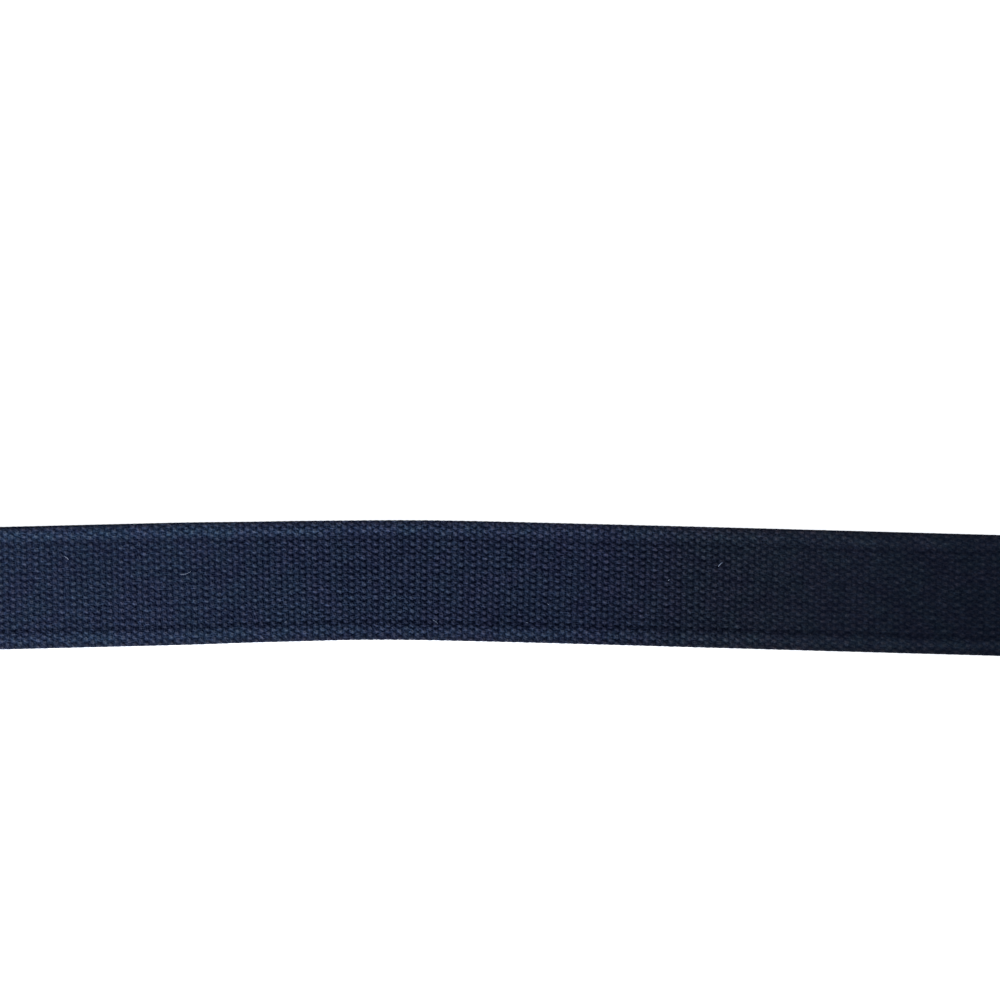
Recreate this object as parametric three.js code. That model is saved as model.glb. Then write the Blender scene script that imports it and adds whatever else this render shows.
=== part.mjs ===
// A woven webbing belt that lies open and flat, with a plain three-bar slide sewn to one end.
// Millimetres, +Z up. X runs along the belt and Y across it.
// The origin is on the underside of the strap, in the middle of its width and near the middle of its length.

import * as THREE from "three";

// The band, and the flattened tube that is woven along each of its edges
const STRAP_WIDTH = 32;
const BODY_THICKNESS = 2.0;
const RIB_THICKNESS = 2.3;
const RIB_WIDTH = 4.4;
const RIB_STEPS = 5;
const GROOVE_DEPTH = 0.35;
const GROOVE_END = 4.5;
const BODY_EDGE = 4.9;

// The woven width strays from its nominal size over the stretch in the middle of the belt
const WIDTHS = [
  { along: -230, width: 32.0 },
  { along: -140, width: 32.5 },
  { along: -88, width: 32.5 },
  { along: -60, width: 32.0 },
  { along: -38, width: 31.7 },
  { along: 0, width: 31.9 },
  { along: 60, width: 32.0 },
];

// The belt lies in one shallow bend. Beyond its middle stretch the slide's arm swings gently aside and
// comes straight again, and the hemmed arm curves on.
const BEND_AT = -29;
const BEND_REACH = 18;
const BEND_SLOPE = 0.0268;
const BEND_LEAN = 0.00145;
const ARM_START = 150;
const SLIDE_ARM_SWING = 22;
const SLIDE_ARM_LENGTH = 330;
const HEM_ARM_RADIUS = 4200;

// Places along the belt, and the stretches that are folded under the two ends
const BAR_AT = -500;
const HEM_AT = 510;
const TAB_LENGTH = 38;
const HEM_LENGTH = 20;
const LAYER_GAP = 0.3;
const RAMP_START = 1.5;
const RAMP_LENGTH = 12;
const LOOP_TAPER = 16;

// The three-bar slide
const BAR_SIZE = 3.0;
const BAR_ROUNDING = 1.2;
const BAR_CLEARANCE = 0.4;
const SLOT_LENGTH = 9;
const SLOT_WIDTH = 34;
const OUTER_CORNER = 4;
const SLOT_CORNER = 1;
const FAR_BAR_LEVEL = 1.6;

// Levels of the strap's underside: folded beneath, lying on the fold, and passing over the slide's bar
const FOLDED_LEVEL = RIB_THICKNESS;
const LAYERED_LEVEL = FOLDED_LEVEL + LAYER_GAP;
const LOOP_RADIUS = BAR_SIZE / 2 + BAR_CLEARANCE;
const BAR_LEVEL = FOLDED_LEVEL + LOOP_RADIUS;
const LOOP_TOP = BAR_LEVEL + LOOP_RADIUS;

// How finely the strap is divided along its length
const PLAIN_STEP = 20;
const RAMP_STEP = 1.5;
const TAPER_STEP = 2;
const TURN_STEPS = 10;

function smooth(t) {
  const x = Math.min(Math.max(t, 0), 1);
  return x * x * (3 - 2 * x);
}

function widthAt(along) {
  let width = WIDTHS[0].width;
  for (let i = 1; i < WIDTHS.length; i++) {
    const from = WIDTHS[i - 1];
    const to = WIDTHS[i];
    width += (to.width - from.width) * smooth((along - from.along) / (to.along - from.along));
  }
  return width;
}

// The line of the belt's middle, seen from above, and its slope
function planLine(along) {
  const bend = BEND_SLOPE * (Math.hypot(along - BEND_AT, BEND_REACH) - Math.hypot(BEND_AT, BEND_REACH));
  const slideArm = SLIDE_ARM_SWING * smooth((-ARM_START - along) / SLIDE_ARM_LENGTH);
  const hemArm = Math.max(along - ARM_START, 0) ** 2 / (2 * HEM_ARM_RADIUS);
  return -bend - BEND_LEAN * along - slideArm - hemArm;
}

function planSlope(along) {
  const reach = 0.01;
  return (planLine(along + reach) - planLine(along - reach)) / (2 * reach);
}

function planPoint(along, across) {
  const turn = Math.atan(planSlope(along));
  return [along - Math.sin(turn) * across, planLine(along) + Math.cos(turn) * across];
}

// The level of the underside of the upper layer, from the slide's bar to the fold of the hem
function runLevel(along) {
  const fromBar = along - BAR_AT;
  const fromHem = HEM_AT - along;
  const overBar = (LOOP_TOP - LAYERED_LEVEL) * (1 - smooth(fromBar / LOOP_TAPER));
  const overTab = LAYERED_LEVEL * (1 - smooth((fromBar - TAB_LENGTH - RAMP_START) / RAMP_LENGTH));
  const overHem = LAYERED_LEVEL * (1 - smooth((fromHem - HEM_LENGTH - RAMP_START) / RAMP_LENGTH));
  return overBar + overTab + overHem;
}

function runTurn(along) {
  const reach = 0.01;
  return -Math.atan((runLevel(along + reach) - runLevel(along - reach)) / (2 * reach));
}

function steps(from, to, longest) {
  const count = Math.ceil(Math.abs(to - from) / longest);
  return Array.from({ length: count }, (_, i) => from + ((to - from) * (i + 1)) / count);
}

// The strap's route seen from the side. Each station has its place along the belt, the level of the
// underside there, and how far the outer face has turned from facing up.
function sideStations() {
  const stations = [];
  const folded = (along, turn) => ({ along, level: FOLDED_LEVEL, turn });
  const turned = (middle, level, radius, turn) => ({
    along: middle + radius * Math.sin(turn),
    level: level + radius * Math.cos(turn),
    turn,
  });

  const tabEnd = BAR_AT + TAB_LENGTH;
  stations.push(folded(tabEnd, -Math.PI));
  for (const along of steps(tabEnd, BAR_AT, PLAIN_STEP)) stations.push(folded(along, -Math.PI));
  for (const turn of steps(-Math.PI, 0, Math.PI / TURN_STEPS)) {
    stations.push(turned(BAR_AT, BAR_LEVEL, LOOP_RADIUS, turn));
  }

  const rampDown = tabEnd + RAMP_START;
  const rampUp = HEM_AT - HEM_LENGTH - RAMP_START;
  const spans = [
    { from: BAR_AT, to: BAR_AT + LOOP_TAPER, step: TAPER_STEP },
    { from: BAR_AT + LOOP_TAPER, to: rampDown, step: PLAIN_STEP },
    { from: rampDown, to: rampDown + RAMP_LENGTH, step: RAMP_STEP },
    { from: rampDown + RAMP_LENGTH, to: rampUp - RAMP_LENGTH, step: PLAIN_STEP },
    { from: rampUp - RAMP_LENGTH, to: rampUp, step: RAMP_STEP },
    { from: rampUp, to: HEM_AT, step: PLAIN_STEP },
  ];
  for (const span of spans) {
    for (const along of steps(span.from, span.to, span.step)) {
      stations.push({ along, level: runLevel(along), turn: runTurn(along) });
    }
  }

  const foldRadius = LAYER_GAP / 2;
  for (const turn of steps(0, Math.PI, Math.PI / TURN_STEPS)) {
    stations.push(turned(HEM_AT, FOLDED_LEVEL + foldRadius, foldRadius, turn));
  }
  for (const along of steps(HEM_AT, HEM_AT - HEM_LENGTH, PLAIN_STEP)) {
    stations.push(folded(along, Math.PI));
  }
  return stations;
}

// One face of the edge, from the outermost point inwards: the tube's arc down to the floor of the
// groove, the floor, and the edge of the flat body. Face 1 is the outer face and -1 the underside.
function edgeFace(face) {
  const middle = RIB_THICKNESS / 2;
  const floor = face > 0 ? BODY_THICKNESS - GROOVE_DEPTH : GROOVE_DEPTH;
  const bodyHeight = face > 0 ? BODY_THICKNESS : 0;
  const arcEnd = Math.PI - Math.asin(Math.abs(floor - middle) / middle);
  const radius = RIB_WIDTH / 2;
  const arc = steps(0, arcEnd, arcEnd / RIB_STEPS).map((angle) => ({
    inset: radius - radius * Math.cos(angle),
    height: middle + face * middle * Math.sin(angle),
  }));
  return [...arc, { inset: GROOVE_END, height: floor }, { inset: BODY_EDGE, height: bodyHeight }];
}

// The strap's section, anticlockwise as seen from the slide's end
function sectionPoints(width) {
  const half = width / 2;
  const left = (point) => ({ across: half - point.inset, height: point.height });
  const right = (point) => ({ across: point.inset - half, height: point.height });
  const outer = edgeFace(1);
  const under = edgeFace(-1);
  const edge = { inset: 0, height: RIB_THICKNESS / 2 };
  return [
    left(edge),
    ...outer.map(left),
    ...outer.map(right).reverse(),
    right(edge),
    ...under.map(right),
    ...under.map(left).reverse(),
  ];
}

// A closed skin over rings of equal length, with its two ends filled in
function skinOver(rings, outline) {
  const size = rings[0].length;
  const index = [];
  for (let ring = 0; ring + 1 < rings.length; ring++) {
    for (let i = 0; i < size; i++) {
      const next = (i + 1) % size;
      const a = ring * size + i;
      const b = ring * size + next;
      const c = a + size;
      const d = b + size;
      index.push(a, b, d, a, d, c);
    }
  }
  const last = (rings.length - 1) * size;
  for (const [a, b, c] of THREE.ShapeUtils.triangulateShape(outline, [])) {
    index.push(a, c, b);
    index.push(last + a, last + b, last + c);
  }
  const geometry = new THREE.BufferGeometry();
  geometry.setAttribute("position", new THREE.Float32BufferAttribute(rings.flat(2), 3));
  geometry.setIndex(index);
  geometry.computeVertexNormals();
  return geometry;
}

function webbingStrap() {
  const rings = sideStations().map((station) =>
    sectionPoints(widthAt(station.along)).map((point) => {
      const along = station.along + point.height * Math.sin(station.turn);
      const level = station.level + point.height * Math.cos(station.turn);
      return [...planPoint(along, point.across), level];
    }),
  );
  const outline = sectionPoints(STRAP_WIDTH).map(
    (point) => new THREE.Vector2(point.across, point.height),
  );
  const cotton = new THREE.MeshStandardMaterial({ color: 0x222c46, roughness: 0.92, metalness: 0 });
  const strap = new THREE.Mesh(skinOver(rings, outline), cotton);
  strap.name = "webbing_strap";
  return strap;
}

function roundedRectangle(path, left, right, halfWidth, corner) {
  path.moveTo(left + corner, -halfWidth);
  path.lineTo(right - corner, -halfWidth);
  path.absarc(right - corner, -halfWidth + corner, corner, -Math.PI / 2, 0);
  path.lineTo(right, halfWidth - corner);
  path.absarc(right - corner, halfWidth - corner, corner, 0, Math.PI / 2);
  path.lineTo(left + corner, halfWidth);
  path.absarc(left + corner, halfWidth - corner, corner, Math.PI / 2, Math.PI);
  path.lineTo(left, -halfWidth + corner);
  path.absarc(left + corner, -halfWidth + corner, corner, Math.PI, (3 * Math.PI) / 2);
  return path;
}

// A frame of rounded bars with two slots, drawn flat with the middle of the sewn bar at the origin.
// The rounding grows out of the drawn outline, so the outline is drawn smaller by as much.
function slideBuckle() {
  const pitch = SLOT_LENGTH + BAR_SIZE;
  const right = BAR_SIZE / 2 - BAR_ROUNDING;
  const left = -2 * pitch - right;
  const halfWidth = SLOT_WIDTH / 2 + BAR_SIZE - BAR_ROUNDING;
  const frame = roundedRectangle(new THREE.Shape(), left, right, halfWidth, OUTER_CORNER - BAR_ROUNDING);
  for (const slot of [0, 1]) {
    const slotRight = -slot * pitch - BAR_SIZE / 2 + BAR_ROUNDING;
    const slotLeft = slotRight - SLOT_LENGTH - 2 * BAR_ROUNDING;
    const slotHalf = SLOT_WIDTH / 2 + BAR_ROUNDING;
    frame.holes.push(
      roundedRectangle(new THREE.Path(), slotLeft, slotRight, slotHalf, SLOT_CORNER + BAR_ROUNDING),
    );
  }
  const depth = BAR_SIZE - 2 * BAR_ROUNDING;
  const geometry = new THREE.ExtrudeGeometry(frame, {
    depth,
    bevelThickness: BAR_ROUNDING,
    bevelSize: BAR_ROUNDING,
    bevelSegments: 3,
    curveSegments: 5,
  });
  geometry.translate(0, 0, -depth / 2);

  const nickel = new THREE.MeshStandardMaterial({ color: 0xb9b7b0, roughness: 0.35, metalness: 1 });
  const slide = new THREE.Mesh(geometry, nickel);
  slide.name = "slide_buckle";
  slide.rotation.y = -Math.asin((BAR_LEVEL - FAR_BAR_LEVEL) / (2 * pitch));

  const seat = new THREE.Group();
  seat.position.set(...planPoint(BAR_AT, 0), BAR_LEVEL);
  seat.rotation.z = Math.atan(planSlope(BAR_AT));
  seat.add(slide);
  return seat;
}

const belt = new THREE.Group();
belt.add(webbingStrap());
belt.add(slideBuckle());

export default belt;
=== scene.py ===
"""A navy woven webbing belt that lies open and flat, with a three-bar slide sewn to one end.

X runs along the belt, Y across it and Z up from the floor. Sizes are named in millimetres, as in
the CAD model, and every mesh is made in metres.
"""

import math

import bpy
import numpy as np
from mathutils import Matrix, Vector


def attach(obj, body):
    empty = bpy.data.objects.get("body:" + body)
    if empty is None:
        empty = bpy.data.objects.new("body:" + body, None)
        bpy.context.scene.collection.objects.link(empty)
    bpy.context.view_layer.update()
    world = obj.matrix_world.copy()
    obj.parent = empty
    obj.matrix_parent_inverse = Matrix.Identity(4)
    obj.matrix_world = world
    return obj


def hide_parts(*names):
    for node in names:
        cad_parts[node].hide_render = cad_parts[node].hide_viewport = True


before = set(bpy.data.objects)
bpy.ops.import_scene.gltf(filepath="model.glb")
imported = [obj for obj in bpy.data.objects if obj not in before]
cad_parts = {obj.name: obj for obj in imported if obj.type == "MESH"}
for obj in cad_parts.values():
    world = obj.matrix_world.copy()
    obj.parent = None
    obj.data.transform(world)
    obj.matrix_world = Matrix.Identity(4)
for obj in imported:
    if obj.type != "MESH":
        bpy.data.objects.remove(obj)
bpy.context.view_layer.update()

MM = 0.001

# The band, and the flattened tube that is woven along each of its edges. The rib's crest, the start
# of its fall and the body's edge are insets from the rim.
STRAP_WIDTH = 32.0
BODY_THICKNESS = 2.15
RIB_THICKNESS = 2.3
RIB_CREST = 2.5
RIB_FALL = 3.2
BODY_EDGE = 5.2
RIM_SQUARENESS = 4.4

# The woven width, by place along the belt
WIDTHS = (
    (-230, 32.0),
    (-140, 32.5),
    (-88, 32.5),
    (-60, 32.0),
    (-38, 31.7),
    (0, 31.9),
    (60, 32.0),
)

# The line that the belt lies in, seen from above: one shallow bend, then an arm at each end
BEND_AT = -29.0
BEND_REACH = 18.0
BEND_SLOPE = 0.0268
BEND_LEAN = 0.00145
ARM_START = 150.0
SLIDE_ARM_SWING = 22.0
SLIDE_ARM_LENGTH = 330.0
HEM_ARM_RADIUS = 4200.0

# The folds of the two ends
BAR_AT = -500.0
HEM_AT = 510.0
TAB_LENGTH = 38.0
HEM_LENGTH = 20.0
LAYER_GAP = 0.3
RAMP_START = 1.5
RAMP_LENGTH = 12.0
LOOP_TAPER = 16.0

# The three-bar slide. The middle bar is slimmer than the others and ends short of their outer face.
BAR_SIZE = 3.0
BAR_ROUNDING = 1.2
BAR_CLEARANCE = 0.4
MIDDLE_BAR_SLIMNESS = 0.1
MIDDLE_BAR_SHORTNESS = 0.2
SLOT_LENGTH = 9.0
SLOT_WIDTH = 34.0
BAR_PITCH = SLOT_LENGTH + BAR_SIZE
OUTER_CORNER = 4.0
SLOT_CORNER = 1.0
FAR_BAR_LEVEL = 1.6
BAR_SIDES = 24
CORNER_STEPS = 8
FLARE_STATIONS = 6

# Levels of the strap's underside: folded beneath, lying on the fold, and round the slide's bar
FOLDED_LEVEL = RIB_THICKNESS
LAYERED_LEVEL = FOLDED_LEVEL + LAYER_GAP
LOOP_RADIUS = BAR_SIZE / 2 + BAR_CLEARANCE
BAR_LEVEL = FOLDED_LEVEL + LOOP_RADIUS
LOOP_TOP = BAR_LEVEL + LOOP_RADIUS

# The weave: warp ends go along the belt and round it, and a pick crosses under every second end
PIECE_NAMES = ("strap_slide_end", "strap_middle", "strap_hem_end")
CELLS_IN_PIECE = 112
PICKS_IN_PIECE = 2 * CELLS_IN_PIECE
PICKS_ALONG = PICKS_IN_PIECE * len(PIECE_NAMES)
CELLS_ROUND = 37
ENDS_ROUND = 2 * CELLS_ROUND
STEPS_IN_PICK = 3
STEPS_IN_END = 2

# How far the cloth lies below its crests, by steps along from a crest and steps across from it
FLOAT_RELIEF = (
    (0.00, 0.03, 0.37),
    (0.14, 0.26, 0.80),
    (0.80, 0.26, 0.14),
    (0.37, 0.03, 0.00),
)

# The depth and the looseness of the weave, by place along the belt
WEAVE_DEPTHS = (
    (-110.0, 0.78),
    (-25.0, 1.12),
    (45.0, 1.07),
    (95.0, 0.48),
    (140.0, 0.46),
    (175.0, 0.85),
)
WEAVE_LOOSENESS = ((45.0, 1.0), (95.0, 1.3))

# How far floats and ends stray, in picks along or ends across
FLOAT_STRAY_ALONG = 0.12
FLOAT_STRAY_ACROSS = 0.08
END_STRAY_ACROSS = 0.10

# How much lower each crest is worn, how uneven the crests are, and how deep below a crest that ends
CREST_WEAR = 0.05
CREST_UNEVENNESS = 0.05
CREST_DEPTH = 0.4

# Every second end lies lower, by this share of its depth and a random share up to as large
SECOND_END_DEPTH = 0.08
SECOND_END_SHARE = 0.6

# Towards the rims the relief flattens and the width fills out, from these places across
RIM_FLATNESS = 0.75
RIM_FLAT_FROM = 15.0
RIM_FLAT_REACH = 0.8
RIM_FULLNESS = 0.2
RIM_FULL_FROM = 14.4
RIM_FULL_REACH = 1.4

# Where the painted shade comes along the belt: towards the hem end the navy turns redder and
# duller,
# as painted shade where less of the key light falls. Then how much lighter the ribs are on each
# face:
# their lightening before the painted shade comes, then the change
PAINTED_SHADE_START = -90.0
PAINTED_SHADE_LENGTH = 190.0
UPPER_RIB_LIGHTENING = (1.1, -0.62)
LOWER_RIB_LIGHTENING = (0.58, 0.1)

# The seams: a box of rows through the tab, and rows across the hem
STITCH_LENGTH = 3.0
THREAD_RADIUS = 0.16
THREAD_SIDES = 8
SEAM_HALF_WIDTH = 10.5
TAB_ROW_FROM_BAR = 9.0
TAB_ROW_FROM_END = 4.0
HEM_ROWS_FROM_END = (3.0, 15.5)
HEM_ROW_EXCESS = 0.4

# How far the stitches draw the outer face in, over which reach, and above which level that starts
SEAM_PULL = 0.28
SEAM_REACH = 0.9
SEAM_PULL_FROM = 1.2
SEAM_PULL_RISE = 0.5

# The stitches' middles: below the upper face, and above the lowest one
UPPER_STITCH_DROP = 0.30
LOWER_STITCH_LEVEL = 0.60

# A stitch from the side: where its thread comes out of the cloth, then the place, height and growth
# of each ring up to its middle
STITCH_START = (-1.35, -0.42)
STITCH_RINGS = ((-1.25, -0.12, 1.5), (-0.95, 0.10, 1.2), (0.0, 0.17, 1.05))

# Pale hairs caught on the cloth: place along and across, heading in degrees, length, bow and
# thickness
LINT = (
    (-115.6, 6.4, -39, 1.7, 0.1, 0.1),
    (-83.8, 2.5, 18, 3.2, -0.35, 0.065),
    (-17.3, -10.6, -34, 1.8, 0.12, 0.065),
    (58.8, 4.7, 46, 1.7, 0.1, 0.16),
    (-57.1, -10.7, 12, 0.6, 0.05, 0.065),
    (12.8, -5.9, -50, 0.5, 0.05, 0.065),
    (45.1, 0.5, 30, 0.5, 0.05, 0.16),
    (7.2, -10.9, -15, 0.6, 0.08, 0.065),
    (-250.0, 3.0, 25, 1.9, 0.2, 0.065),
    (231.0, -19.0, -60, 1.5, 0.15, 0.065),
)
LINT_LIFT = 0.05
HAIR_SIDES = 5
HAIR_TIP = 0.2
HAIR_GROWTH = (1.8, 1.35, 1.03, 1.0, 0.97, 0.74, 0.555)

# How finely the belt's route and section are followed
ROUTE_STEP = 0.1
ARC_STATIONS = 200
NUDGE = 0.01
RIM_POINTS = 40
FALL_POINTS = 24
OUTLINE_POINTS = 2048
ROUNDING_REACH = 7
SLOPE_REACH = 3


# ---------------------------------------------------------------- the belt's line and section


def smooth(t):
    x = np.clip(t, 0.0, 1.0)
    return x * x * (3 - 2 * x)


def changing(along, table):
    """A size that changes along the belt, from a table of places and sizes."""
    size = np.full_like(along, table[0][1])
    for (start, before), (end, after) in zip(table, table[1:]):
        size += (after - before) * smooth((along - start) / (end - start))
    return size


def plan_line(along):
    reach = np.hypot(along - BEND_AT, BEND_REACH) - math.hypot(BEND_AT, BEND_REACH)
    slide_arm = SLIDE_ARM_SWING * smooth((-ARM_START - along) / SLIDE_ARM_LENGTH)
    hem_arm = np.maximum(along - ARM_START, 0) ** 2 / (2 * HEM_ARM_RADIUS)
    return -BEND_SLOPE * reach - BEND_LEAN * along - slide_arm - hem_arm


def plan_slope(along):
    return (plan_line(along + NUDGE) - plan_line(along - NUDGE)) / (2 * NUDGE)


def plan_point(along, across):
    turn = np.arctan(plan_slope(along))
    return along - np.sin(turn) * across, plan_line(along) + np.cos(turn) * across


def run_level(along):
    from_bar = along - BAR_AT
    from_hem = HEM_AT - along
    over_bar = (LOOP_TOP - LAYERED_LEVEL) * (1 - smooth(from_bar / LOOP_TAPER))
    over_tab = LAYERED_LEVEL * (1 - smooth((from_bar - TAB_LENGTH - RAMP_START) / RAMP_LENGTH))
    over_hem = LAYERED_LEVEL * (1 - smooth((from_hem - HEM_LENGTH - RAMP_START) / RAMP_LENGTH))
    return over_bar + over_tab + over_hem


def side_route():
    """Close stations of the underside: travel at mid-thickness, place along, level and turn."""

    def flat(start, end, turn):
        along = np.arange(start, end, math.copysign(ROUTE_STEP, end - start))
        return along, np.full_like(along, FOLDED_LEVEL), np.full_like(along, turn)

    def arc(middle, level, radius, start):
        turn = np.linspace(start, start + math.pi, ARC_STATIONS, endpoint=False)
        return middle + radius * np.sin(turn), level + radius * np.cos(turn), turn

    run = np.arange(BAR_AT, HEM_AT, ROUTE_STEP)
    run_turn = -np.arctan((run_level(run + NUDGE) - run_level(run - NUDGE)) / (2 * NUDGE))
    fold = LAYER_GAP / 2
    stretches = (
        flat(BAR_AT + TAB_LENGTH, BAR_AT, -math.pi),
        arc(BAR_AT, BAR_LEVEL, LOOP_RADIUS, -math.pi),
        (run, run_level(run), run_turn),
        arc(HEM_AT, FOLDED_LEVEL + fold, fold, 0.0),
        flat(HEM_AT, HEM_AT - HEM_LENGTH - ROUTE_STEP / 2, math.pi),
    )
    along, level, turn = (np.concatenate(parts) for parts in zip(*stretches))
    middle = RIB_THICKNESS / 2
    x, y = plan_point(along + middle * np.sin(turn), 0.0)
    z = level + middle * np.cos(turn)
    steps = np.sqrt(np.diff(x) ** 2 + np.diff(y) ** 2 + np.diff(z) ** 2)
    return np.concatenate(([0.0], np.cumsum(steps))), along, level, turn


def section_outline():
    """The section's closed outline from the middle of the underside, with its outward normals.

    Returns distance round, across, height, and the normal's two parts, at close points.
    """
    middle = RIB_THICKNESS / 2

    def edge(face):
        body = BODY_THICKNESS if face > 0 else 0.0
        crest = middle + face * middle
        angle = np.linspace(0, math.pi / 2, RIM_POINTS)
        power = 2 / RIM_SQUARENESS
        inset = RIB_CREST * (1 - np.abs(np.cos(angle)) ** power)
        height = middle + face * middle * np.sin(angle) ** power
        fall = np.linspace(0, 1, FALL_POINTS)
        fall_inset = RIB_FALL + (BODY_EDGE - RIB_FALL) * fall
        fall_height = crest + (body - crest) * smooth(fall)
        return np.append(inset, fall_inset), np.append(height, fall_height)

    half = STRAP_WIDTH / 2
    top_inset, top_height = edge(1)
    low_inset, low_height = edge(-1)
    across = np.concatenate((low_inset[::-1] - half, top_inset[1:] - half))
    height = np.concatenate((low_height[::-1], top_height[1:]))
    across = np.concatenate(([0.0], across, -across[::-1], [0.0]))
    height = np.concatenate(([0.0], height, height[::-1], [0.0]))
    distance = np.concatenate(([0.0], np.cumsum(np.hypot(np.diff(across), np.diff(height)))))

    even = np.arange(OUTLINE_POINTS) / OUTLINE_POINTS * distance[-1]
    across, height = np.interp(even, distance, across), np.interp(even, distance, height)
    reach = ROUNDING_REACH
    kernel = np.hanning(2 * reach + 3)[1:-1]
    kernel /= kernel.sum()
    rounded = [
        np.convolve(np.concatenate((part[-reach:], part, part[:reach])), kernel, "valid")
        for part in (across, height)
    ]
    slope = [np.roll(part, -SLOPE_REACH) - np.roll(part, SLOPE_REACH) for part in rounded]
    length = np.hypot(*slope)
    outward = (-slope[1] / length, slope[0] / length)
    closed = [np.append(part, part[0]) for part in (*rounded, *outward)]
    return np.append(even, distance[-1]), *closed


ROUTE = side_route()
OUTLINE = section_outline()
PICK = ROUTE[0][-1] / PICKS_ALONG
END = OUTLINE[0][-1] / ENDS_ROUND


# ---------------------------------------------------------------- tools


def start_piece():
    """Leaves edit mode with nothing selected, ready for a new primitive."""
    if bpy.context.object and bpy.context.object.mode != "OBJECT":
        bpy.ops.object.mode_set(mode="OBJECT")
    bpy.ops.object.select_all(action="DESELECT")


def pick_points(piece, wanted):
    """Selects the points that are wanted, by their place in millimetres, in edit mode."""
    bpy.ops.object.mode_set(mode="EDIT")
    bpy.ops.mesh.select_mode(type="VERT")
    bpy.ops.mesh.select_all(action="DESELECT")
    bpy.ops.object.mode_set(mode="OBJECT")
    for point in piece.data.vertices:
        point.select = bool(wanted(point.co / MM))
    bpy.ops.object.mode_set(mode="EDIT")


def extrude(step):
    bpy.ops.mesh.extrude_region_move(TRANSFORM_OT_translate={"value": step})


def face_outward():
    """Turns the edited mesh's normals outward and leaves edit mode."""
    bpy.ops.mesh.select_all(action="SELECT")
    bpy.ops.mesh.normals_make_consistent(inside=False)
    bpy.ops.object.mode_set(mode="OBJECT")


def apply_placing():
    bpy.ops.object.transform_apply(location=True, rotation=True, scale=True)


def apply_modifiers(piece):
    for modifier in list(piece.modifiers):
        bpy.ops.object.modifier_apply(modifier=modifier.name)


def new_object(name, data):
    made = bpy.data.objects.new(name, data)
    bpy.context.scene.collection.objects.link(made)
    return made


def select_alone(piece):
    start_piece()
    piece.select_set(True)
    bpy.context.view_layer.objects.active = piece


def join_pieces(pieces):
    """Makes one object of several."""
    select_alone(pieces[0])
    for piece in pieces:
        piece.select_set(True)
    bpy.ops.object.join()
    apply_placing()
    return bpy.context.object


def finish_piece(piece, name, material, slot, *nodes):
    piece.name = name
    piece.data.name = name
    piece.data.materials.append(material)
    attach(piece, "root")
    if nodes:
        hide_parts(*nodes)


# ---------------------------------------------------------------- nodes for the materials


def put(tree, kind, inputs=(), **settings):
    """Adds one node. Inputs give a value or a linked output for a socket's name or number."""
    made = tree.nodes.new(kind)
    for name, value in settings.items():
        setattr(made, name, value)
    for socket, value in dict(inputs).items():
        if isinstance(value, bpy.types.NodeSocket):
            tree.links.new(value, made.inputs[socket])
        else:
            made.inputs[socket].default_value = value
    return made


def maths(tree, operation, a, b=None, c=None):
    inputs = {i: value for i, value in enumerate((a, b, c)) if value is not None}
    return put(tree, "ShaderNodeMath", inputs, operation=operation).outputs[0]


def vector_maths(tree, operation, a, b):
    made = put(tree, "ShaderNodeVectorMath", {0: a, 1: b}, operation=operation)
    return made.outputs["Value" if operation == "DOT_PRODUCT" else "Vector"]


def remap(tree, value, low, high, to_low=0.0, to_high=1.0, kind="SMOOTHSTEP"):
    ranges = {"From Min": low, "From Max": high, "To Min": to_low, "To Max": to_high}
    made = put(tree, "ShaderNodeMapRange", {"Value": value, **ranges}, interpolation_type=kind)
    return made.outputs["Result"]


def linear(tree, value, low, high, to_low=0.0, to_high=1.0):
    return remap(tree, value, low, high, to_low, to_high, "LINEAR")


def blend_colour(tree, amount, a, b, kind="MIX"):
    inputs = {0: amount, 6: a, 7: b}
    return put(tree, "ShaderNodeMix", inputs, data_type="RGBA", blend_type=kind).outputs[2]


def tinted(tree, amount, colour, tint):
    """The colour multiplied by the tint, as far as the amount says."""
    return blend_colour(tree, amount, colour, blend_colour(tree, 1.0, colour, tint, "MULTIPLY"))


def noise(tree, place, **inputs):
    return put(tree, "ShaderNodeTexNoise", {"Vector": place, **inputs}).outputs[0]


def own_place(tree):
    """Where a point lies on its own object, in metres."""
    return put(tree, "ShaderNodeTexCoord").outputs["Object"]


def carried(tree, name):
    """A value that the mesh carries at its points."""
    return put(tree, "ShaderNodeAttribute", attribute_name=name).outputs["Fac"]


def bumped(tree, shader, height, strength, distance):
    inputs = {"Strength": strength, "Distance": distance, "Height": height}
    tree.links.new(put(tree, "ShaderNodeBump", inputs).outputs[0], shader.inputs["Normal"])


def new_group(name, inputs, outputs):
    """A shader node group. Inputs are pairs of a name and a kind, and outputs are values' names."""
    group = bpy.data.node_groups.new(name, "ShaderNodeTree")
    for label, kind in inputs:
        group.interface.new_socket(label, in_out="INPUT", socket_type="NodeSocket" + kind)
    for label in outputs:
        group.interface.new_socket(label, in_out="OUTPUT", socket_type="NodeSocketFloat")
    return group, group.nodes.new("NodeGroupInput"), group.nodes.new("NodeGroupOutput")


def give(group, result, values):
    for name, value in values.items():
        group.links.new(value, result.inputs[name])


def new_material(name, **constants):
    material = bpy.data.materials.new(name)
    material.use_nodes = True
    tree = material.node_tree
    shader = tree.nodes["Principled BSDF"]
    for socket, value in constants.items():
        shader.inputs[socket.replace("_", " ")].default_value = value
    return material, tree, shader


# Shares of the weave's waves in a float's crown, and the height at which the crown comes
CHECK_SHARE = 1.15
PICK_SHARES = (0.75, 0.25)
CROWN_RANGE = (-0.6, 1.35)

# How much the tone differs from float to float and from end to end
FLOAT_VARIATION = 0.5
END_VARIATION = 0.1

# The slant and size of fibres and tufts, in the weave's units
FIBRE_AXES = ((0.97, -0.15, 0.0), (0.83, 1.74, 0.0))
TUFT_SIZES = (3.0, 1.9, 1.0)
NOISE_RANGE = (0.3, 0.7)


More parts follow.
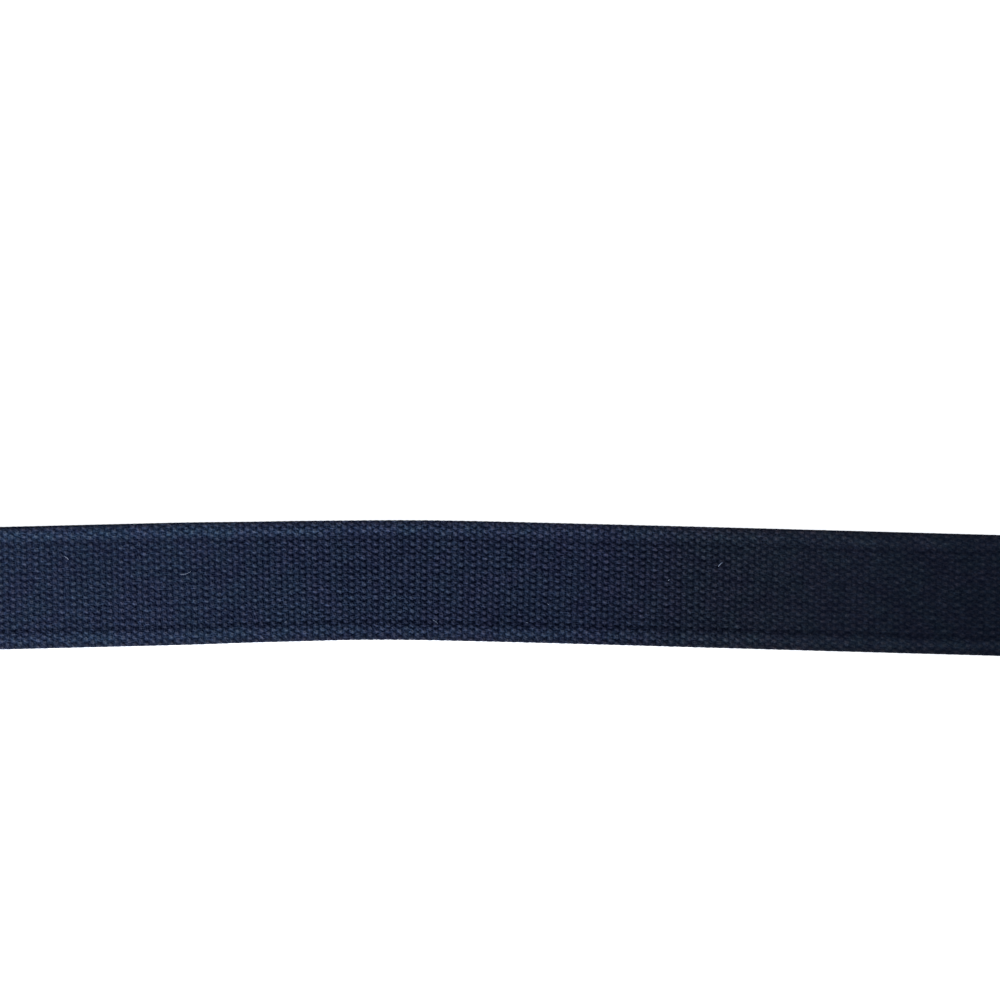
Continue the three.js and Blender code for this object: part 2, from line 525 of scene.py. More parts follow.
def woven_floats():
    """Where each float's crown is, its tone, and the tufts and the twist of its fibres.

    Weave is a point on the cloth, in picks along and ends round.
    """
    group, given, result = new_group(
        "Woven floats",
        (("Weave", "Vector"), ("Second end share", "Float"), ("Pick share", "Float")),
        ("Crown", "Tone", "Tufts", "Fibre"),
    )
    weave = given.outputs["Weave"]
    place = put(group, "ShaderNodeSeparateXYZ", {0: weave})
    u, v = place.outputs[0], place.outputs[1]
    along = maths(group, "COSINE", maths(group, "MULTIPLY", u, math.pi))
    across = maths(group, "COSINE", maths(group, "MULTIPLY", v, math.pi))
    over_picks = maths(group, "COSINE", maths(group, "MULTIPLY", u, 2 * math.pi))
    checks = maths(group, "MULTIPLY", maths(group, "MULTIPLY", along, across), CHECK_SHARE)
    raised = maths(group, "MULTIPLY_ADD", over_picks, given.outputs["Pick share"], checks)

    half_sum = maths(group, "MULTIPLY", maths(group, "ADD", u, v), 0.5)
    half_difference = maths(group, "MULTIPLY", maths(group, "SUBTRACT", u, v), 0.5)
    numbers = {0: maths(group, "ROUND", half_sum), 1: maths(group, "ROUND", half_difference)}
    number = put(group, "ShaderNodeCombineXYZ", numbers).outputs[0]
    by_float = put(group, "ShaderNodeTexWhiteNoise", {"Vector": number}).outputs["Value"]
    end = maths(group, "ROUND", v)
    by_end = put(group, "ShaderNodeTexWhiteNoise", {"W": end}, noise_dimensions="1D")
    second = maths(group, "MODULO", end, 2.0)
    floats = maths(group, "MULTIPLY", maths(group, "SUBTRACT", by_float, 0.5), FLOAT_VARIATION)
    ends = maths(group, "SUBTRACT", by_end.outputs["Value"], 0.5)
    ends = maths(group, "MULTIPLY", ends, END_VARIATION)
    seconds = maths(group, "SUBTRACT", 0.5, second)
    seconds = maths(group, "MULTIPLY", seconds, given.outputs["Second end share"])
    tone = maths(group, "ADD", maths(group, "ADD", floats, ends), maths(group, "ADD", seconds, 1.0))

    slants = (vector_maths(group, "DOT_PRODUCT", weave, axis) for axis in FIBRE_AXES)
    slanting = put(group, "ShaderNodeCombineXYZ", enumerate(slants)).outputs[0]
    fibre = noise(group, slanting, Scale=1.0, Detail=1.0, Roughness=0.5)
    spread = vector_maths(group, "MULTIPLY", weave, TUFT_SIZES)
    tufts = noise(group, spread, Scale=1.0, Detail=1.5, Roughness=0.6)
    values = {
        "Crown": remap(group, raised, *CROWN_RANGE),
        "Tone": tone,
        "Tufts": linear(group, tufts, *NOISE_RANGE),
        "Fibre": linear(group, fibre, *NOISE_RANGE),
    }
    give(group, result, values)
    return group


# The dye's patches of hue, in metres, and where its shades lie from them
DYE_PATCH = 0.006
SHADE_AWAY = (31.0, 17.0, 5.0)
SHADE_RANGE = (0.25, 0.75)


def dye_mottling():
    """Slow changes of hue and shade over cloth, from a place in metres."""
    group, given, result = new_group("Dye mottling", (("Place", "Vector"),), ("Hue", "Shade"))
    place = {0: given.outputs["Place"], "Scale": 1 / DYE_PATCH}
    scaled = put(group, "ShaderNodeVectorMath", place, operation="SCALE").outputs[0]
    hue = noise(group, scaled, Scale=1.0, Detail=2.0)
    moved = vector_maths(group, "ADD", scaled, SHADE_AWAY)
    shade = noise(group, moved, Scale=0.6, Detail=3.0)
    values = {"Hue": remap(group, hue, *NOISE_RANGE), "Shade": remap(group, shade, *SHADE_RANGE)}
    give(group, result, values)
    return group


FLOATS = woven_floats()
MOTTLING = dye_mottling()

# The navy of the crowns and of the pits between them, from one hue of the dye to the other. The
# pits' darker, bluer navy is painted shade; the crowns' lighter, greyer navy is partly wear and
# partly a painted highlight
CROWN_WEAR_AND_HIGHLIGHT_HUES = ((0.0280, 0.0294, 0.0498, 1), (0.0241, 0.0322, 0.0488, 1))
PIT_SHADE_HUES = ((0.0152, 0.0214, 0.0452, 1), (0.0131, 0.0235, 0.0446, 1))

# Tints of the cloth in the painted shade and of its last stretch, of the ribs, of the grooves'
# painted shade, and of the redder rims
PAINTED_SHADE_TINT = (1.21, 1.02, 1.02, 1)
LAST_PAINTED_SHADE_TINT = (1.02, 0.985, 0.76, 1)
RIB_TINT = (1.80, 1.86, 1.66, 1)
GROOVE_PAINTED_SHADE = (0.70, 0.72, 0.78, 1)
RIM_TINTS = ((1.15, 0.97, 0.86, 1), (1.28, 1.10, 0.98, 1))

# Insets from the rim over which the parts of the section come or go
RIM_GOES = (0.4, 1.5)
RIB_COMES, RIB_GOES = (0.7, 2.1), (2.9, 4.4)
GROOVE_COMES, GROOVE_GOES = (3.6, 4.6), (5.0, 5.3)
BODY_COMES = (4.3, 5.1)

# The share of the painted shade at which its last tint and the flatter last stretch come
LAST_PAINTED_SHADE_COMES = (0.62, 0.95)
LAST_STRETCH = (0.7, 1)

# The tone of every second end, on the ribs and along the body
RIB_SECOND_SHARE = 0.05
BODY_SECOND_SHARES = (0.5, 0.28)

# Tones of the dye's shades, of thin and full tufts from the lit cloth into the painted shade, and
# of the fibres
SHADE_TONES = (0.96, 1.04)
THIN_TUFTS = (0.33, 0.5)
FULL_TUFTS = (1.67, 1.5)
FIBRE_TONES = (0.54, 1.46)

# Powers of a float's tone where it is light and where it is dark, for red, green and blue: the
# darker tones stay bluer, as painted shade, and the lighter ones turn greyer, as a painted
# highlight
SHADE_AND_HIGHLIGHT_POWERS = ((1.0, 1.0), (0.98, 0.85), (0.9, 0.5))

# Roughness from pit to crown, and the height of crowns and fibres against tufts
WEBBING_ROUGHNESS = (0.85, 0.42)
CROWN_HEIGHT = 0.5
FIBRE_HEIGHT = 0.2


def navy_cotton_webbing():
    material, tree, shader = new_material(
        "navy cotton webbing",
        Specular_IOR_Level=0.10,
        Sheen_Weight=0.05,
        Sheen_Roughness=0.5,
        Sheen_Tint=(0.6, 0.7, 1.0, 1.0),
    )
    inset, painted_shade_share, rib_lightening = (carried(tree, name) for name in ("inset", "painted_shade_share", "rib_lightening"))
    body_share = remap(tree, painted_shade_share, *LAST_STRETCH, *BODY_SECOND_SHARES)
    weave = {
        "Weave": put(tree, "ShaderNodeUVMap", uv_map="weave").outputs[0],
        "Second end share": remap(tree, inset, *BODY_COMES, RIB_SECOND_SHARE, body_share),
        "Pick share": remap(tree, painted_shade_share, *LAST_STRETCH, *PICK_SHARES),
    }
    floats = put(tree, "ShaderNodeGroup", weave, node_tree=FLOATS).outputs
    dye = put(tree, "ShaderNodeGroup", {"Place": own_place(tree)}, node_tree=MOTTLING).outputs

    # Painted shade in the pits and a painted highlight on the crowns, blended by the crown mask
    crown = blend_colour(tree, dye["Hue"], *CROWN_WEAR_AND_HIGHLIGHT_HUES)
    shaded_pit = blend_colour(tree, dye["Hue"], *PIT_SHADE_HUES)
    cloth = blend_colour(tree, floats["Crown"], shaded_pit, crown)
    # The redder, duller navy of the painted shade towards the hem end, then its last, yellower tint
    cloth = tinted(tree, painted_shade_share, cloth, PAINTED_SHADE_TINT)
    cloth = tinted(tree, remap(tree, painted_shade_share, *LAST_PAINTED_SHADE_COMES), cloth, LAST_PAINTED_SHADE_TINT)
    before_groove = remap(tree, inset, *RIB_GOES, 1.0, 0.0)
    rib = maths(tree, "MULTIPLY", remap(tree, inset, *RIB_COMES), before_groove)
    # The ribs are lighter than the body, partly from wear; the upper rib is lighter than the lower,
    # and the two faces change as the painted shade comes
    cloth = tinted(tree, maths(tree, "MULTIPLY", rib, rib_lightening), cloth, RIB_TINT)
    # Painted shade along the groove between each rib and the body
    before_body = remap(tree, inset, *GROOVE_GOES, 1.0, 0.0)
    groove_shade = maths(tree, "MULTIPLY", remap(tree, inset, *GROOVE_COMES), before_body)
    cloth = tinted(tree, groove_shade, cloth, GROOVE_PAINTED_SHADE)
    # The rims are redder, and lighter as well in the painted shade
    redder_rim = blend_colour(tree, painted_shade_share, *RIM_TINTS)
    cloth = tinted(tree, remap(tree, inset, *RIM_GOES, 1.0, 0.0), cloth, redder_rim)

    tone = maths(tree, "MULTIPLY", floats["Tone"], remap(tree, dye["Shade"], 0, 1, *SHADE_TONES))
    thin, full = (linear(tree, painted_shade_share, 0, 1, *tones) for tones in (THIN_TUFTS, FULL_TUFTS))
    tufts = linear(tree, floats["Tufts"], 0, 1, thin, full)
    streaks = linear(tree, floats["Fibre"], 0, 1, *FIBRE_TONES)
    tone = maths(tree, "MULTIPLY", tone, maths(tree, "MULTIPLY", tufts, streaks))
    # Darker tones kept bluer as painted shade, lighter ones greyer as a painted highlight
    channels = []
    for powers in SHADE_AND_HIGHLIGHT_POWERS:
        light, dark = (maths(tree, "POWER", tone, power) for power in powers)
        channels.append(maths(tree, "MAXIMUM", light, dark))
    tones_with_painted_light = put(tree, "ShaderNodeCombineXYZ", enumerate(channels)).outputs[0]
    toned = vector_maths(tree, "MULTIPLY", cloth, tones_with_painted_light)
    tree.links.new(toned, shader.inputs["Base Color"])
    worn = linear(tree, floats["Crown"], 0, 1, *WEBBING_ROUGHNESS)
    tree.links.new(worn, shader.inputs["Roughness"])
    height = maths(tree, "MULTIPLY_ADD", floats["Fibre"], FIBRE_HEIGHT, floats["Tufts"])
    height = maths(tree, "MULTIPLY_ADD", floats["Crown"], CROWN_HEIGHT, height)
    bumped(tree, shader, height, strength=1.0, distance=0.0002)
    return material


THREAD_SHADES = ((0.012, 0.018, 0.045, 1), (0.030, 0.042, 0.095, 1))


def stitching_thread():
    material, tree, shader = new_material(
        "navy stitching thread", Roughness=0.6, Specular_IOR_Level=0.35, Sheen_Weight=0.15
    )
    twist = {"Vector": own_place(tree), "Scale": 900.0, "Distortion": 2.0, "Detail": 1.0}
    ply = put(tree, "ShaderNodeTexWave", twist, bands_direction="DIAGONAL").outputs["Fac"]
    tree.links.new(blend_colour(tree, ply, *THREAD_SHADES), shader.inputs["Base Color"])
    bumped(tree, shader, ply, strength=0.6, distance=0.00005)
    return material


# Fresh and worn nickel, and the brushing's strokes in a metre along each axis
NICKEL_SHADES = ((0.80, 0.70, 0.58, 1), (0.68, 0.58, 0.47, 1))
WORN_RANGE = (0.45, 0.7)
BRUSH_STROKES = (2500.0, 160.0, 2500.0)
BRUSH_RANGE = (0.2, 0.8)
BRUSHED_ROUGHNESS = (0.22, 0.36)
WORN_ROUGHNESS = 0.12


def satin_nickel():
    material, tree, shader = new_material("satin nickel", Metallic=1.0, Anisotropic=0.3)
    place = own_place(tree)
    strokes = vector_maths(tree, "MULTIPLY", place, BRUSH_STROKES)
    brushing = noise(tree, strokes, Scale=1.0, Detail=3.0)
    worn = remap(tree, noise(tree, place, Scale=180.0, Detail=4.0), *WORN_RANGE)
    tree.links.new(blend_colour(tree, worn, *NICKEL_SHADES), shader.inputs["Base Color"])
    brushed = linear(tree, brushing, *BRUSH_RANGE, *BRUSHED_ROUGHNESS)
    rough = maths(tree, "ADD", brushed, maths(tree, "MULTIPLY", worn, WORN_ROUGHNESS))
    tree.links.new(rough, shader.inputs["Roughness"])
    bumped(tree, shader, brushing, strength=0.25, distance=0.00003)
    return material


LINT_SHADES = ((0.42, 0.46, 0.56, 1), (0.75, 0.78, 0.85, 1))


def lint():
    material, tree, shader = new_material("pale lint", Roughness=0.8, Specular_IOR_Level=0.3)
    patches = noise(tree, own_place(tree), Scale=1500.0)
    tree.links.new(blend_colour(tree, patches, *LINT_SHADES), shader.inputs["Base Color"])
    return material


# ---------------------------------------------------------------- the woven strap


def woven_cell():
    """One repeat of the weave, two picks by two warp ends: a flat grid with its floats raised."""
    start_piece()
    columns, rows = 2 * STEPS_IN_PICK, 2 * STEPS_IN_END
    length, width = 2 * PICK, 2 * END
    bpy.ops.mesh.primitive_grid_add(x_subdivisions=columns, y_subdivisions=rows, size=1)
    cell = bpy.context.object
    bpy.ops.object.mode_set(mode="EDIT")
    bpy.ops.transform.resize(value=(length * MM, width * MM, 1))
    bpy.ops.transform.translate(value=(length / 2 * MM, width / 2 * MM, 0))

    def steps_from_crest(at):
        column = round(at.x / PICK * STEPS_IN_PICK) % columns
        row = round(at.y / END * STEPS_IN_END) % rows
        return min(column, columns - column), min(row, rows - row)

    for along, sinks in enumerate(FLOAT_RELIEF):
        for across, sink in enumerate(sinks):
            if sink:
                pick_points(cell, lambda at: steps_from_crest(at) == (along, across))
                bpy.ops.transform.translate(value=(0, 0, -sink * MM))
    bpy.ops.object.mode_set(mode="OBJECT")
    return cell


def woven_length():
    """The cell repeated over one piece of the strap, still flat."""
    cloth = woven_cell()
    repeats = ((CELLS_IN_PIECE, (2 * PICK * MM, 0, 0)), (CELLS_ROUND, (0, 2 * END * MM, 0)))
    for count, step in repeats:
        repeat = cloth.modifiers.new("repeat", "ARRAY")
        repeat.count = count
        repeat.use_relative_offset = False
        repeat.use_constant_offset = True
        repeat.constant_offset_displace = step
        repeat.use_merge_vertices = True
        repeat.merge_threshold = 0.01 * MM
    apply_modifiers(cloth)
    return cloth


class Uneven:
    """Smooth random change over the weave, drawn once for each float, the same all round."""

    def __init__(self, seed, every=1):
        draws = np.random.default_rng(seed)
        self.every = every
        self.values = draws.uniform(-1, 1, (PICKS_ALONG // every + 2, ENDS_ROUND))

    def at(self, picks, ends):
        picks = np.clip(picks / self.every, 0, len(self.values) - 1.001)
        i, j = np.floor(picks).astype(int), np.floor(ends).astype(int)
        s, t = smooth(picks - i), smooth(ends - j)
        near, far = j % ENDS_ROUND, (j + 1) % ENDS_ROUND
        low = self.values[i, near] * (1 - t) + self.values[i, far] * t
        high = self.values[i + 1, near] * (1 - t) + self.values[i + 1, far] * t
        return low * (1 - s) + high * s


FLOAT_HEIGHT = Uneven(11)
FLOAT_ALONG = Uneven(12)
FLOAT_ACROSS = Uneven(13)
END_WANDER = Uneven(14, every=9)
SECOND_ENDS = Uneven(15, every=20)


def stitch_rows():
    """Where the seams run: both ends of each row of the tab's box, and of the hem's rows."""
    near, far = BAR_AT + TAB_ROW_FROM_BAR, BAR_AT + TAB_LENGTH - TAB_ROW_FROM_END
    side = SEAM_HALF_WIDTH
    tab_rows = (
        ((near, -side), (near, side)),
        ((near, side), (far, side)),
        ((far, side), (far, -side)),
        ((far, -side), (near, -side)),
    )
    places = (HEM_AT - HEM_LENGTH + back for back in HEM_ROWS_FROM_END)
    side += HEM_ROW_EXCESS
    return tab_rows, tuple(((place, -side), (place, side)) for place in places)


def pulled_in(along, across, height):
    """How far the stitches draw the outer face into the cloth."""
    deepest = np.zeros_like(along)
    for rows in stitch_rows():
        for (x0, y0), (x1, y1) in rows:
            run, rise = x1 - x0, y1 - y0
            t = ((along - x0) * run + (across - y0) * rise) / math.hypot(run, rise) ** 2
            t = np.clip(t, 0, 1)
            off = np.hypot(along - x0 - t * run, across - y0 - t * rise)
            deepest = np.maximum(deepest, np.exp(-((off / SEAM_REACH) ** 2)))
    return SEAM_PULL * deepest * smooth((height - SEAM_PULL_FROM) / SEAM_PULL_RISE)


def relief(sink, depth, loose, picks, ends):
    """How deep each point lies under the cloth's outer face, uneven from float to float."""
    crown = np.maximum(CREST_DEPTH - sink, 0) / CREST_DEPTH
    uneven = CREST_UNEVENNESS * loose * FLOAT_HEIGHT.at(picks, ends) + CREST_WEAR
    sink = sink * depth + uneven * crown
    second_end = (1 - np.cos(math.pi * ends)) / 2
    share = SECOND_END_SHARE + SECOND_END_SHARE * SECOND_ENDS.at(picks, ends)
    return sink + SECOND_END_DEPTH * depth * second_end * share


def wrap_cloth(flat, first_pick):
    """Carries flat cloth, in millimetres, round the strap's section and along its route."""
    picks = first_pick + flat[:, 0] / PICK
    ends = flat[:, 1] / END
    place = np.interp(picks * PICK, ROUTE[0], ROUTE[1])
    loose = changing(place, WEAVE_LOOSENESS)
    sink = relief(-flat[:, 2], changing(place, WEAVE_DEPTHS), loose, picks, ends)
    inner = smooth(np.minimum(picks, PICKS_ALONG - picks) / 2)
    moved_picks = picks + FLOAT_STRAY_ALONG * loose * FLOAT_ALONG.at(picks, ends) * inner
    moved_ends = ends + FLOAT_STRAY_ACROSS * loose * FLOAT_ACROSS.at(picks, ends)
    moved_ends = moved_ends + END_STRAY_ACROSS * END_WANDER.at(picks, ends)

    distance, *parts = OUTLINE
    round_at = (moved_ends % ENDS_ROUND) * END
    side, height, side_normal, height_normal = (
        np.interp(round_at, distance, part) for part in parts
    )
    travel, *parts = ROUTE
    at = np.clip(moved_picks * PICK, 0, travel[-1])
    along, level, turn = (np.interp(at, travel, part) for part in parts)

    sink = sink * (1 - RIM_FLATNESS * smooth((np.abs(side) - RIM_FLAT_FROM) / RIM_FLAT_REACH))
    half_body = STRAP_WIDTH / 2 - BODY_EDGE
    wider = (changing(along, WIDTHS) - STRAP_WIDTH) / 2
    side = side + wider * np.clip(side / half_body, -1, 1)
    fuller = smooth((np.abs(side) - RIM_FULL_FROM) / RIM_FULL_REACH)
    side = side + RIM_FULLNESS * np.sign(side) * fuller
    sink = sink + pulled_in(along, side, height)
    side, height = side - side_normal * sink, height - height_normal * sink
    x, y = plan_point(along + height * np.sin(turn), side)
    return np.column_stack((x, y, level + height * np.cos(turn))) * MM


def woven_strap(material):
    """The strap's three pieces, each the same flat cloth carried to its own place."""
    cloth = woven_length()
    flat = np.empty(len(cloth.data.vertices) * 3, np.float32)
    cloth.data.vertices.foreach_get("co", flat)
    flat = flat.reshape(-1, 3).astype(float) / MM
    corners = np.empty(len(cloth.data.loops), np.int32)
    cloth.data.loops.foreach_get("vertex_index", corners)
    across = np.interp(flat[:, 1], OUTLINE[0], OUTLINE[1])
    for number, name in enumerate(PIECE_NAMES):
        first_pick = number * PICKS_IN_PIECE
        mesh = cloth.data.copy()
        mesh.uv_layers["UVMap"].name = "weave"
        at = flat[corners, :2] / (PICK, END) + (first_pick, 0)
        mesh.uv_layers["weave"].data.foreach_set("uv", at.ravel())
        along = np.interp(flat[:, 0] + first_pick * PICK, ROUTE[0], ROUTE[1])
        # How far into the painted shade each point lies, from the lit cloth towards the hem end
        painted_shade_share = smooth((along - PAINTED_SHADE_START) / PAINTED_SHADE_LENGTH)
        upper, lower = (before + change * painted_shade_share for before, change in (UPPER_RIB_LIGHTENING, LOWER_RIB_LIGHTENING))
        values = {
            "inset": STRAP_WIDTH / 2 - np.abs(across),
            "painted_shade_share": painted_shade_share,
            "rib_lightening": np.where(across > 0, upper, lower),
        }
        for label, value in values.items():
            mesh.attributes.new(label, "FLOAT", "POINT").data.foreach_set("value", value)
        mesh.vertices.foreach_set("co", wrap_cloth(flat, first_pick).ravel())
        mesh.update()

        piece = new_object(name, mesh)
        select_alone(piece)
        bpy.ops.object.mode_set(mode="EDIT")
        bpy.ops.mesh.select_mode(type="VERT")
        bpy.ops.mesh.select_all(action="SELECT")
        bpy.ops.mesh.remove_doubles(threshold=0.004 * MM)
        bpy.ops.mesh.select_mode(type="EDGE")
        bpy.ops.mesh.select_all(action="DESELECT")
        bpy.ops.mesh.select_non_manifold()
        bpy.ops.mesh.fill()
        face_outward()
        bpy.ops.object.shade_smooth_by_angle(angle=math.radians(75))
        finish_piece(piece, name, material, "webbing", "webbing_strap")
    bpy.data.objects.remove(cloth)


# ---------------------------------------------------------------- stitches, slide and lint


def thread_end(vertices, radius, at):
    """A filled disc that faces along X, left selected in edit mode."""
    start_piece()
    bpy.ops.mesh.primitive_circle_add(vertices=vertices, radius=radius * MM, fill_type="NGON")
    disc = bpy.context.object
    bpy.ops.object.mode_set(mode="EDIT")
    bpy.ops.mesh.select_all(action="SELECT")
    bpy.ops.transform.rotate(value=math.pi / 2, orient_axis="Y", center_override=(0, 0, 0))
    bpy.ops.transform.translate(value=at)
    return disc


def one_stitch():
    """A stitch of plied thread, lying along X, that dives into the cloth at its two ends."""
    start_x, start_z = STITCH_START
    stitch = thread_end(THREAD_SIDES, THREAD_RADIUS, (start_x * MM, 0, start_z * MM))
    at = Vector((start_x, 0, start_z))
    path = list(STITCH_RINGS)
    for (x, z, _), (_, _, grow) in zip(STITCH_RINGS[-2::-1], STITCH_RINGS[:0:-1]):
        path.append((-x, z, 1 / grow))
    path.append((-start_x, start_z, 1 / STITCH_RINGS[0][2]))
    for x, z, grow in path:
        extrude(((x - at.x) * MM, 0, (z - at.z) * MM))
        bpy.ops.transform.resize(value=(1, grow, grow))
        at = Vector((x, 0, z))
    face_outward()
    bpy.ops.object.shade_smooth()
    return stitch


def sew(name, rows, material):
    """Copies the stitch along each row, on the outer face of each layer, and joins the copies."""
    stitch = one_stitch()
    copies = []
    for (x0, y0), (x1, y1) in rows:
        length = math.hypot(x1 - x0, y1 - y0)
        heading = math.atan2(y1 - y0, x1 - x0)
        count = round(length / STITCH_LENGTH)
        for i in range(count):
            t = (i + 0.5) / count
            along, across = np.array([x0 + t * (x1 - x0)]), np.array([y0 + t * (y1 - y0)])
            x, y = plan_point(along, across)
            turn = heading + math.atan(plan_slope(along)[0])
            upper = BODY_THICKNESS - UPPER_STITCH_DROP + run_level(along)[0]
            for level, roll in ((upper, 0), (LOWER_STITCH_LEVEL, math.pi)):
                copied = new_object(name, stitch.data.copy())
                copied.location = (x[0] * MM, y[0] * MM, level * MM)
                copied.rotation_euler = (roll, 0, turn)
                copied.scale = (length / count / STITCH_LENGTH, 1, 1)
                copies.append(copied)
    bpy.data.objects.remove(stitch)
    finish_piece(join_pieces(copies), name, material, "webbing")


def lint_hair(length, bow, thickness):
    """A single bowed hair along X, thinner at its two ends."""
    hair = thread_end(HAIR_SIDES, thickness * HAIR_TIP, (-length / 2 * MM, 0, 0))
    was = 0.0
    for number, grow in enumerate(HAIR_GROWTH, start=1):
        t = number / len(HAIR_GROWTH)
        side = 4 * bow * t * (1 - t)
        extrude((length / len(HAIR_GROWTH) * MM, (side - was) * MM, 0))
        bpy.ops.transform.resize(value=(1, grow, grow))
        was = side
    face_outward()
    bpy.ops.object.shade_smooth()
    return hair


def lint_hairs(material):
    """The few pale hairs that lie on the strap's face."""
    hairs = []
    for x, y, heading, length, bow, thickness in LINT:
        hair = lint_hair(length, bow, thickness)
        hair.location = (x * MM, y * MM, (BODY_THICKNESS + LINT_LIFT) * MM)
        hair.rotation_euler = (0, 0, math.radians(heading))
        hairs.append(hair)
    finish_piece(join_pieces(hairs), "lint_hairs", material, "webbing")


def bar_section(at, half_size):
    """The outline of a bar, round with slightly flat sides, standing across the y axis."""
    start_piece()
    bpy.ops.mesh.primitive_circle_add(
        vertices=BAR_SIDES,
        radius=BAR_ROUNDING * MM,
        fill_type="NOTHING",
        rotation=(math.pi / 2, 0, 0),
    )
    bar = bpy.context.object
    apply_placing()
    flat = half_size - BAR_ROUNDING
    for axis in (0, 2):
        for side in (-1, 1):
            move = [0.0, 0.0, 0.0]
            move[axis] = side * flat * MM
            pick_points(bar, lambda point: point[axis] * side > NUDGE)
            bpy.ops.transform.translate(value=move)
    bpy.ops.mesh.select_all(action="SELECT")
    bpy.ops.transform.translate(value=Vector(at) * MM)
    return bar


def slide_frame():
    """The slide's outer frame: a bar's section run round four sides and four corners."""
    half_bar = BAR_SIZE / 2
    bend = OUTER_CORNER - half_bar
    straight_x = 2 * BAR_PITCH - 2 * bend
    straight_y = SLOT_WIDTH + BAR_SIZE - 2 * bend
    end = straight_y / 2
    frame_bar = bar_section((0, -end, 0), half_bar)
    sides = (
        ((0, straight_y, 0), (-bend, end)),
        ((-straight_x, 0, 0), (-2 * BAR_PITCH + bend, end)),
        ((0, -straight_y, 0), (-2 * BAR_PITCH + bend, -end)),
        ((straight_x, 0, 0), (-bend, -end)),
    )
    for run, (x, y) in sides:
        extrude(Vector(run) * MM)
        centre = (x * MM, y * MM, 0)
        bpy.ops.mesh.spin(steps=CORNER_STEPS, angle=-math.pi / 2, center=centre, axis=(0, 0, 1))
    bpy.ops.mesh.select_all(action="SELECT")
    bpy.ops.mesh.remove_doubles(threshold=0.001 * MM)
    face_outward()
    return frame_bar


def flared_bar():
    """The slide's middle bar, which widens where it meets the frame and ends inside it."""
    wall = SLOT_WIDTH / 2
    half_width = BAR_SIZE / 2 - MIDDLE_BAR_SLIMNESS
    turns = np.linspace(0, math.pi / 2, FLARE_STATIONS)
    flare = [(wall + BAR_SIZE / 2 - MIDDLE_BAR_SHORTNESS, SLOT_CORNER)]
    for t in turns:
        flare.append((wall - SLOT_CORNER * (1 - math.cos(t)), SLOT_CORNER * (1 - math.sin(t))))
    stations = [(-y, half_width + wider) for y, wider in flare]
    stations += [(-y, width) for y, width in reversed(stations)]
    here, now = stations[0][0], half_width
    middle_bar = bar_section((-BAR_PITCH, here, 0), half_width)
    bpy.ops.mesh.edge_face_add()
    for y, width in stations:
        if y > here:
            extrude((0, (y - here) * MM, 0))
        centre = (-BAR_PITCH * MM, y * MM, 0)
        bpy.ops.transform.resize(value=(width / now, 1, 1), center_override=centre)
        here, now = y, width
    face_outward()
    return middle_bar


def three_bar_slide(material):
    """A flat frame of rounded bars with two slots, tilted so that its far bar is near the floor."""
    slide = slide_frame()
    middle_bar = flared_bar()
    select_alone(slide)
    joint = slide.modifiers.new("middle bar", "BOOLEAN")
    joint.operation = "UNION"
    joint.solver = "EXACT"
    joint.object = middle_bar
    apply_modifiers(slide)
    bpy.data.objects.remove(middle_bar)
    bpy.ops.object.shade_smooth_by_angle(angle=math.radians(40))

    bar = np.array([BAR_AT])
    x, y = plan_point(bar, np.array([0.0]))
    slide.location = (x[0] * MM, y[0] * MM, BAR_LEVEL * MM)
    tilt = -math.asin((BAR_LEVEL - FAR_BAR_LEVEL) / (2 * BAR_PITCH))
    slide.rotation_euler = (0, tilt, math.atan(plan_slope(bar)[0]))
    apply_placing()
    weighting = slide.modifiers.new("flat faces shade flat", "WEIGHTED_NORMAL")
    weighting.keep_sharp = True
    apply_modifiers(slide)
    finish_piece(slide, "nickel_slide", material, "slide", "slide_buckle")


# ---------------------------------------------------------------- camera, floor and light

# The picture: its scale, its side, the lens and sensor in millimetres, and the strap's row in it
PIXELS_IN_MM = 3.75
IMAGE_SIDE = 1000
LENS = 50.0
SENSOR = 36.0
STRAP_CENTRE_ROW = 581.97

# The floor: its side in metres, how far it lies below the belt, and how bright the camera sees it
FLOOR_SIDE = 4
FLOOR_DROP = 0.05
FLOOR_BRIGHTNESS = 0.95

# The light that falls on the belt from all round, and its strength
SKY = (0.78, 0.98, 1.40, 1)
SKY_STRENGTH = 0.27
WHITE = (1, 1, 1, 1)

# Spot lights: name, place, target, watts, cone in degrees, softness, radius and colour
SPOTS = (
    ("key light", (-520, -700, 343), (-330, 0, 0), 57.5, 57, 0.6, 20, (0.78, 0.86, 1.0)),
    ("hem end light", (480, -600, 600), (375, -20, 0), 62, 26, 0.9, 60, (0.8, 0.9, 1.0)),
)


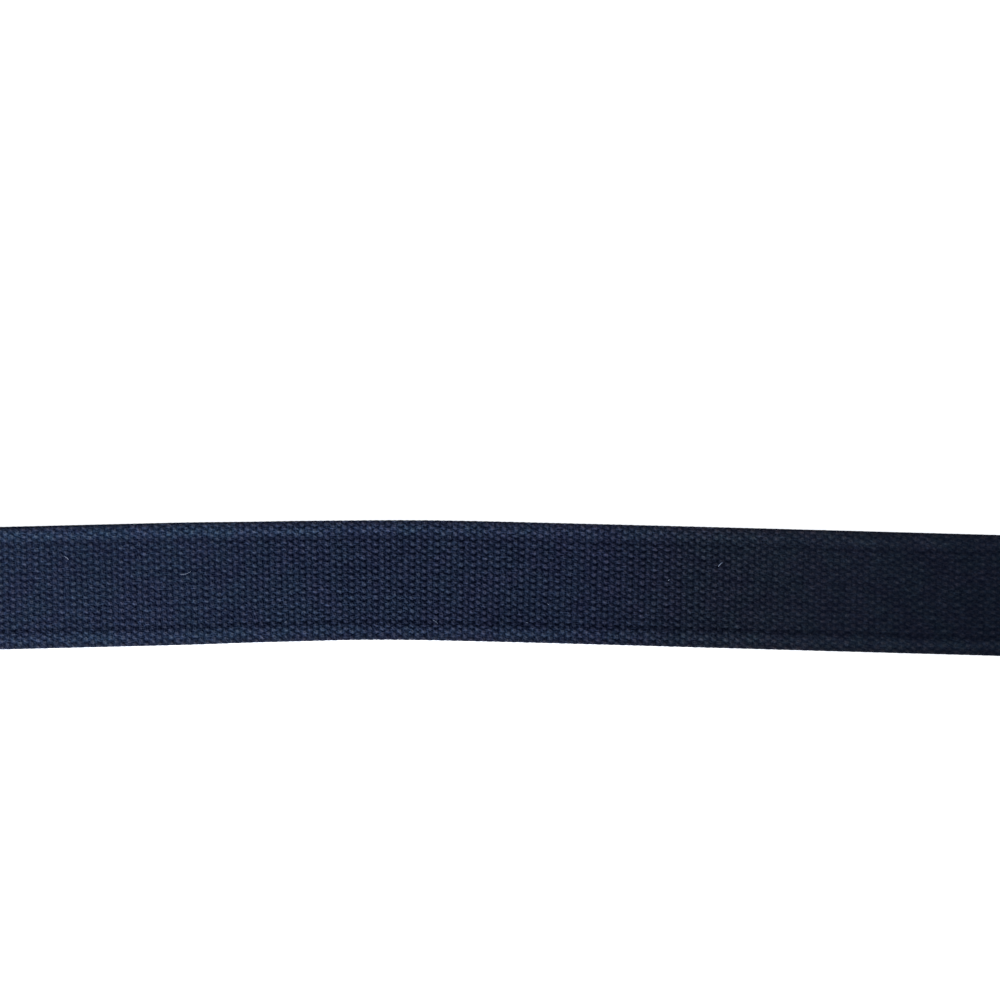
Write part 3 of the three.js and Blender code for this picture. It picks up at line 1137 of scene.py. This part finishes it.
def set_camera():
    """Looks straight down at the strap, which crosses the picture a little below its middle."""
    seen = IMAGE_SIDE / PIXELS_IN_MM
    height = seen * LENS / SENSOR + BODY_THICKNESS
    up = (STRAP_CENTRE_ROW - IMAGE_SIDE / 2) / PIXELS_IN_MM
    camera = bpy.data.cameras.new("camera")
    camera.lens = LENS
    camera.sensor_width = SENSOR
    holder = new_object("camera", camera)
    holder.location = (0, up * MM, height * MM)
    bpy.context.scene.camera = holder


def hang_spots():
    for name, at, toward, watts, cone, softness, radius, colour in SPOTS:
        light = bpy.data.lights.new(name, "SPOT")
        light.energy = watts
        light.spot_size = math.radians(cone)
        light.spot_blend = softness
        light.shadow_soft_size = radius * MM
        light.color = colour
        lamp = new_object(name, light)
        lamp.location = Vector(at) * MM
        look = Vector(toward) - Vector(at)
        lamp.rotation_euler = look.to_track_quat("-Z", "Y").to_euler()


def pale_floor():
    start_piece()
    bpy.ops.mesh.primitive_plane_add(size=FLOOR_SIDE, location=(0, 0, -FLOOR_DROP * MM))
    floor = bpy.context.object
    apply_placing()
    floor.name = "floor"
    material, tree, shader = new_material(
        "pale floor",
        Base_Color=(0.8, 0.8, 0.8, 1),
        Roughness=0.9,
        Specular_IOR_Level=0.1,
        Emission_Color=WHITE,
    )
    seen = put(tree, "ShaderNodeLightPath").outputs["Is Camera Ray"]
    glow = maths(tree, "MULTIPLY", seen, FLOOR_BRIGHTNESS)
    tree.links.new(glow, shader.inputs["Emission Strength"])
    floor.data.materials.append(material)


def plain_world():
    world = bpy.data.worlds.new("studio")
    world.use_nodes = True
    bpy.context.scene.world = world
    tree = world.node_tree
    seen = put(tree, "ShaderNodeLightPath").outputs["Is Camera Ray"]
    background = tree.nodes["Background"]
    tree.links.new(blend_colour(tree, seen, SKY, WHITE), background.inputs["Color"])
    tree.links.new(linear(tree, seen, 0, 1, SKY_STRENGTH), background.inputs["Strength"])


set_camera()
woven_strap(navy_cotton_webbing())
thread = stitching_thread()
tab_rows, hem_rows = stitch_rows()
sew("tab_stitches", tab_rows, thread)
sew("hem_stitches", hem_rows, thread)
lint_hairs(lint())
three_bar_slide(satin_nickel())

plain_world()
pale_floor()
hang_spots()
bpy.context.scene.view_settings.view_transform = "Standard"
